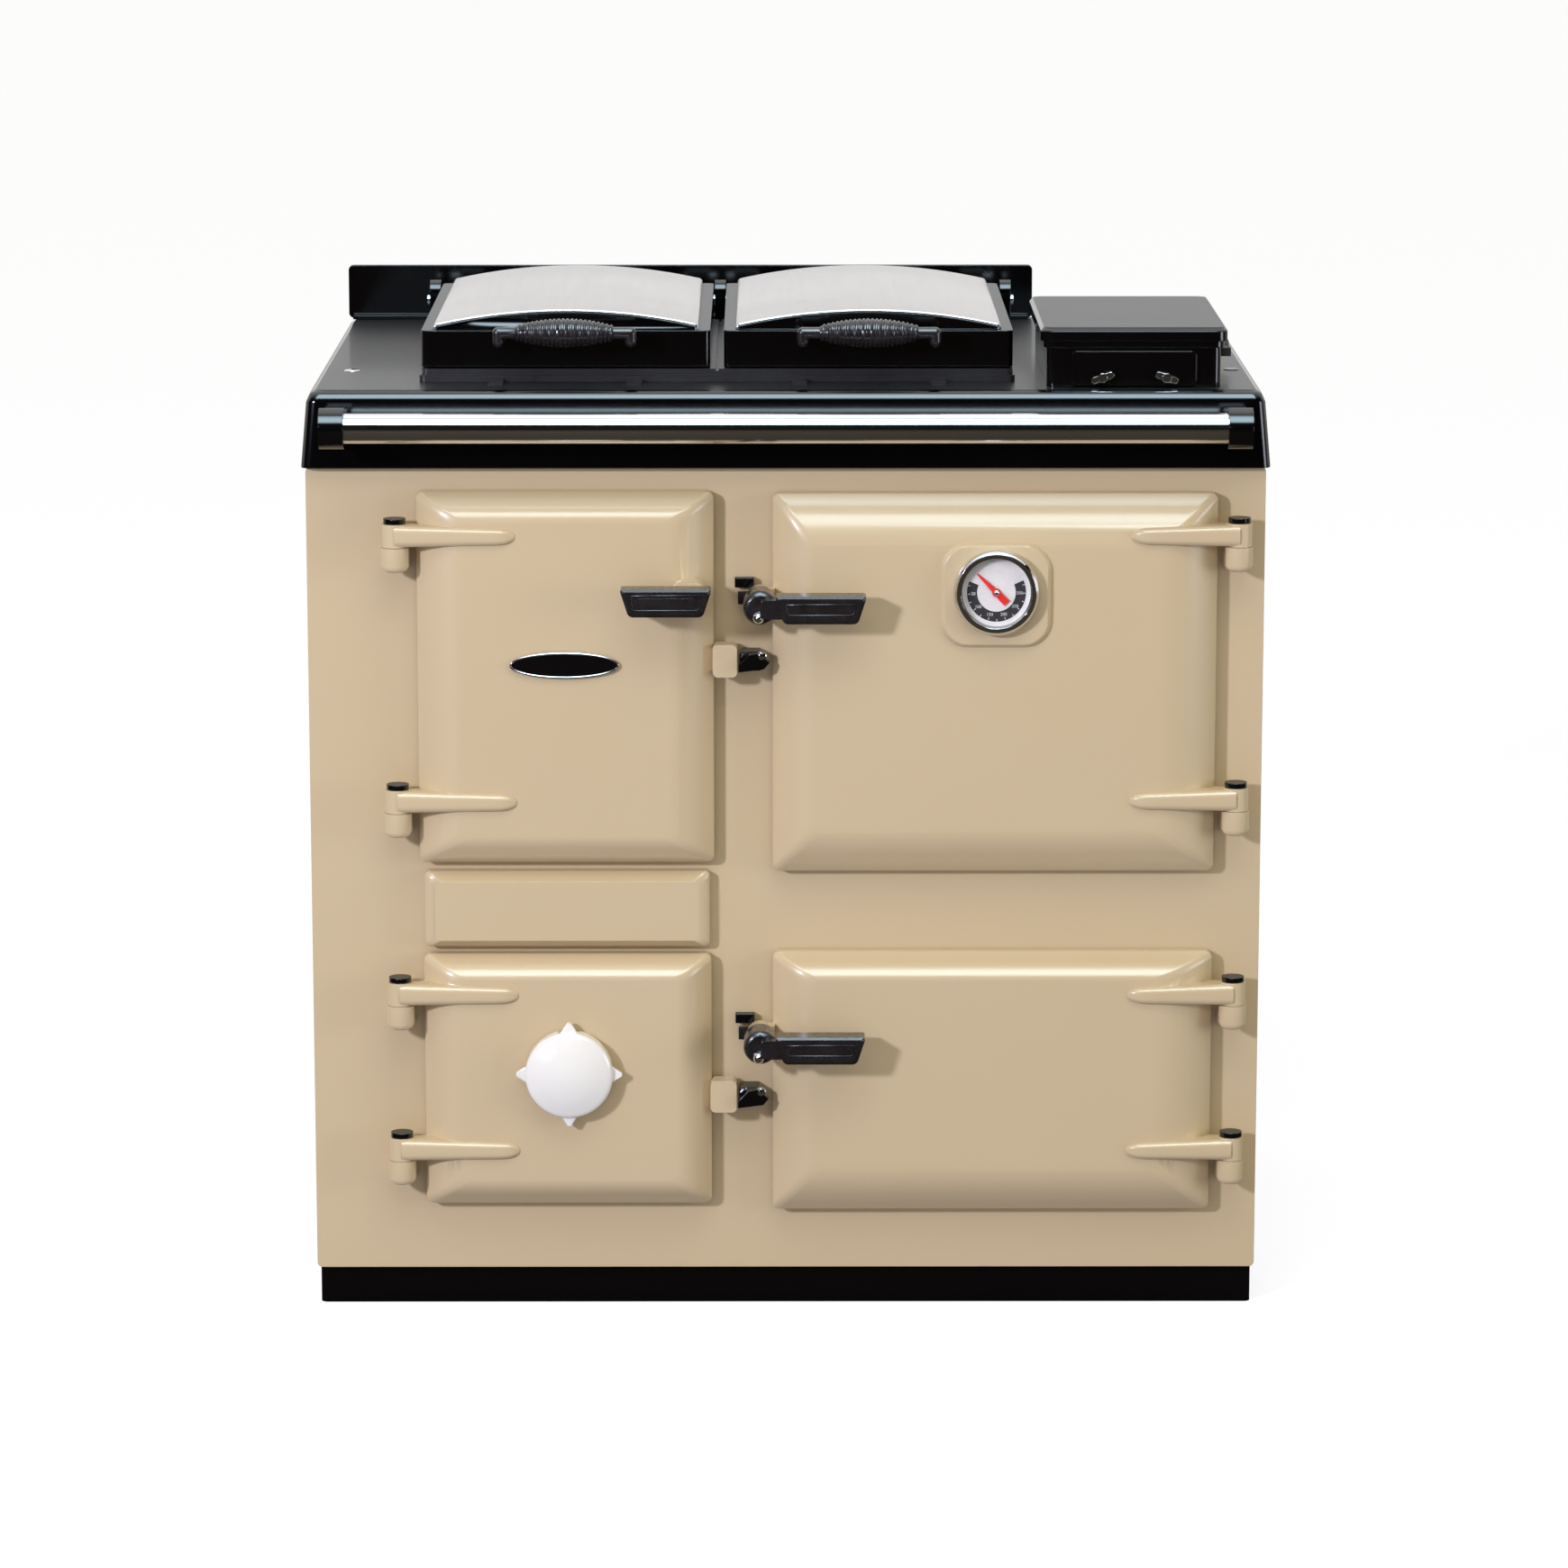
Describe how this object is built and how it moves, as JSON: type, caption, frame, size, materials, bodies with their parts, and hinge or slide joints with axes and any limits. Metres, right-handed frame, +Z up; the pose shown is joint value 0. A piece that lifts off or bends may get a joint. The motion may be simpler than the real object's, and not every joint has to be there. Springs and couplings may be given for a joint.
{
  "type": "range cooker",
  "caption": "Free-standing cast iron range cooker with a fire, ovens behind hinged doors, domed lids over a hotplate, a flue box and a towel rail.",
  "frame": {"origin": "on the floor, under the middle of the cooker's outer box", "axes": "+Z up, +X to the right seen from the front, -Y out of the front doors"},
  "size_m": [0.905, 0.708, 0.953],
  "materials": {
    "cream_enamel": "vitreous enamel, gloss",
    "black_enamel": "vitreous enamel, gloss",
    "polished_steel": "polished stainless steel",
    "chrome_plate": "bright chrome plate",
    "hotplate_iron": "machined face, black sides",
    "raw_iron": "as cast",
    "galvanised_steel": "galvanised sheet",
    "grip_black": "black grip, satin gloss",
    "wheel_white": "pale bright enamel",
    "brass": "turned",
    "seal_rope": "braided glass rope",
    "firebrick": "matt refractory",
    "gauge_glass": "clear",
    "dial_white": "matt white",
    "pointer_red": "red lacquer"
  },
  "bodies": {
    "cooker": {"plinth": "black_enamel", "left_side_panel": "cream_enamel", "right_side_panel": "cream_enamel", "back_panel": "galvanised_steel", "flue_collar": "raw_iron", "front_plate": "cream_enamel", "hinge_lugs": "cream_enamel", "centre_plate": "cream_enamel", "top_plate": "black_enamel", "splashback": "black_enamel", "hotplate": "hotplate_iron", "lid_hinge_posts": "chrome_plate", "lid_hinge_pins": "chrome_plate", "flue_box": "black_enamel", "flue_box_cover": "black_enamel", "flue_box_wing_nuts": "chrome_plate", "towel_rail": "chrome_plate", "towel_rail_brackets": "black_enamel", "door_hinge_pins": "black_enamel", "door_catches": "black_enamel", "main_oven_box": "raw_iron", "lower_oven_box": "raw_iron", "firebox": "raw_iron", "firebricks": "firebrick", "boiler": "raw_iron"},
    "left_lid": {"left_lid_dome": "polished_steel", "left_lid_frame": "black_enamel", "left_lid_liner": "polished_steel", "left_lid_grip": "grip_black"},
    "right_lid": {"right_lid_dome": "polished_steel", "right_lid_frame": "black_enamel", "right_lid_liner": "polished_steel", "right_lid_grip": "grip_black"},
    "damper": {"flue_damper": "raw_iron"},
    "fire_door_set": {"fire_door": "cream_enamel", "fire_door_liner": "raw_iron", "fire_door_rope": "seal_rope", "fire_door_grip": "grip_black", "fire_door_plate": "black_enamel"},
    "ashpit_door_set": {"ashpit_door": "cream_enamel", "ashpit_door_rope": "seal_rope", "air_wheel_stud": "chrome_plate"},
    "wheel_washer": {"air_wheel_washer": "brass"},
    "wheel": {"air_wheel": "wheel_white"},
    "main_oven_door_set": {"main_oven_door": "cream_enamel", "main_oven_door_liner": "polished_steel", "main_oven_door_rope": "seal_rope", "gauge_case": "chrome_plate", "gauge_dial": "dial_white", "gauge_glass": "gauge_glass"},
    "main_lever": {"main_oven_lever": "grip_black"},
    "pointer": {"gauge_pointer": "pointer_red"},
    "lower_oven_door_set": {"lower_oven_door": "cream_enamel", "lower_oven_door_liner": "polished_steel", "lower_oven_door_rope": "seal_rope"},
    "lower_lever": {"lower_oven_lever": "grip_black"},
    "main_shelf": {"main_oven_shelf": "chrome_plate"},
    "lower_shelf": {"lower_oven_shelf": "chrome_plate"},
    "grate": {"bottom_grate": "raw_iron"},
    "pan": {"ash_pan": "galvanised_steel"}
  },
  "joints": [
    {"name": "left_lid_hinge", "type": "hinge", "parent": "cooker", "child": "left_lid", "pos_m": [-0.207, 0.214, 0.915], "axis": [-1, 0, 0], "range_deg": [0, 95]},
    {"name": "right_lid_hinge", "type": "hinge", "parent": "cooker", "child": "right_lid", "pos_m": [0.078, 0.214, 0.915], "axis": [-1, 0, 0], "range_deg": [0, 95]},
    {"name": "damper_turn", "type": "hinge", "parent": "cooker", "child": "damper", "pos_m": [0.3258, -0.1235, 0.90675], "axis": [-1, 0, 0], "range_deg": [0, 90]},
    {"name": "fire_door_hinge", "type": "hinge", "parent": "cooker", "child": "fire_door_set", "pos_m": [-0.3645, -0.298, 0.5005], "axis": [0, 0, -1], "range_deg": [0, 140]},
    {"name": "ashpit_door_hinge", "type": "hinge", "parent": "cooker", "child": "ashpit_door_set", "pos_m": [-0.3645, -0.298, 0.164], "axis": [0, 0, -1], "range_deg": [0, 140]},
    {"name": "main_oven_door_hinge", "type": "hinge", "parent": "cooker", "child": "main_oven_door_set", "pos_m": [0.4227, -0.298, 0.502], "axis": [0, 0, 1], "range_deg": [0, 140]},
    {"name": "lower_oven_door_hinge", "type": "hinge", "parent": "cooker", "child": "lower_oven_door_set", "pos_m": [0.4227, -0.298, 0.164], "axis": [0, 0, 1], "range_deg": [0, 140]},
    {"name": "air_wheel_travel", "type": "slide", "parent": "ashpit_door_set", "child": "wheel_washer", "axis": [0, -1, 0], "range_m": [0, 0.009]},
    {"name": "air_wheel_turn", "type": "hinge", "parent": "wheel_washer", "child": "wheel", "pos_m": [-0.2048, -0.33, 0.241], "axis": [0, -1, 0], "range_deg": [0, 1080]},
    {"name": "main_lever_turn", "type": "hinge", "parent": "main_oven_door_set", "child": "main_lever", "pos_m": [-0.0238, -0.31, 0.69], "axis": [0, -1, 0], "range_deg": [0, 40]},
    {"name": "lower_lever_turn", "type": "hinge", "parent": "lower_oven_door_set", "child": "lower_lever", "pos_m": [-0.0238, -0.31, 0.271], "axis": [0, -1, 0], "range_deg": [0, 40]},
    {"name": "pointer_turn", "type": "hinge", "parent": "main_oven_door_set", "child": "pointer", "pos_m": [0.1957, -0.318, 0.702], "axis": [0, 1, 0], "range_deg": [0, 240], "stiffness_Nm_per_rad": 0.002},
    {"name": "main_shelf_slide", "type": "slide", "parent": "cooker", "child": "main_shelf", "axis": [0, -1, 0], "range_m": [0, 0.028]},
    {"name": "lower_shelf_slide", "type": "slide", "parent": "cooker", "child": "lower_shelf", "axis": [0, -1, 0], "range_m": [0, 0.028]},
    {"name": "grate_slide", "type": "slide", "parent": "cooker", "child": "grate", "axis": [0, 1, 0], "range_m": [0, 0.018]},
    {"name": "ash_pan_slide", "type": "slide", "parent": "cooker", "child": "pan", "axis": [0, -1, 0], "range_m": [0, 0.03]}
  ],
  "couplings": [
    {"joint": "air_wheel_travel", "follows": "air_wheel_turn", "m_per_rad": 0.00047746}
  ]
}
